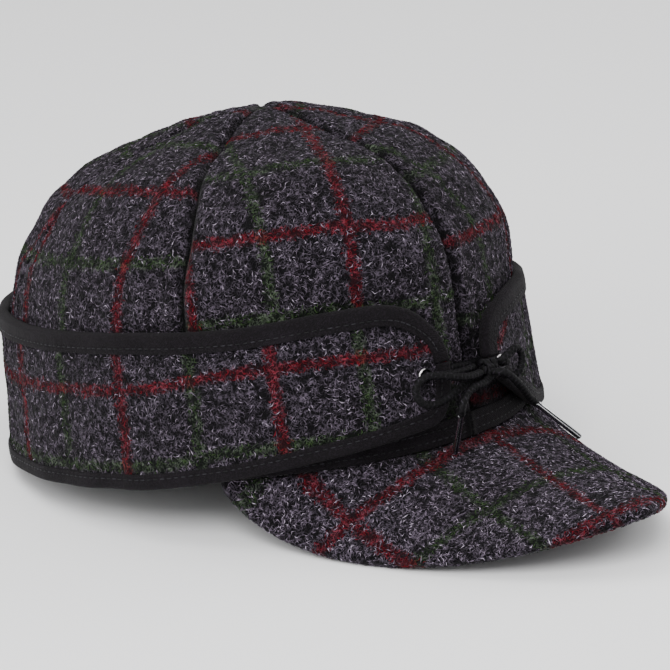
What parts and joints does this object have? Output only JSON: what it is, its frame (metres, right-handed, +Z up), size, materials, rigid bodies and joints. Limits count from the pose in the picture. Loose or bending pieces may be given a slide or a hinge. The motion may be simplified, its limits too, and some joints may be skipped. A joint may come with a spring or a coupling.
{
  "type": "wool cap with visor and laced ear band",
  "caption": "Six-panel wool check cap with a curved wool-covered visor and a fold-up ear band with bound edges, tied in front with a lace bow through metal eyelets.",
  "frame": {"origin": "on the surface under the middle of the resting cap", "axes": "+X towards the wearer's left, -Y forward past the visor, +Z up"},
  "size_m": [0.1872, 0.3032, 0.1368],
  "materials": {
    "wool": "fuzzy wool check",
    "visor_wool": "fuzzy wool check",
    "binding": "fine twill tape",
    "lace": "round braid",
    "steel": "polished"
  },
  "bodies": {
    "root": {"crown_front_left": "wool", "crown_side_left": "wool", "crown_back_left": "wool", "crown_back_right": "wool", "crown_side_right": "wool", "crown_front_right": "wool", "ear_band": "wool", "visor_top": "visor_wool", "visor_under": "visor_wool", "hem_binding": "binding", "upper_binding": "binding", "lower_binding": "binding", "lace_cross": "lace", "lace_lead_left": "lace", "lace_lead_right": "lace", "bow_knot": "lace", "bow_loop_left": "lace", "bow_loop_right": "lace", "bow_tail_left": "lace", "bow_tail_right": "lace", "eyelet_left": "steel", "eyelet_right": "steel", "aglet_left": "steel", "aglet_right": "steel"}
  },
  "joints": []
}
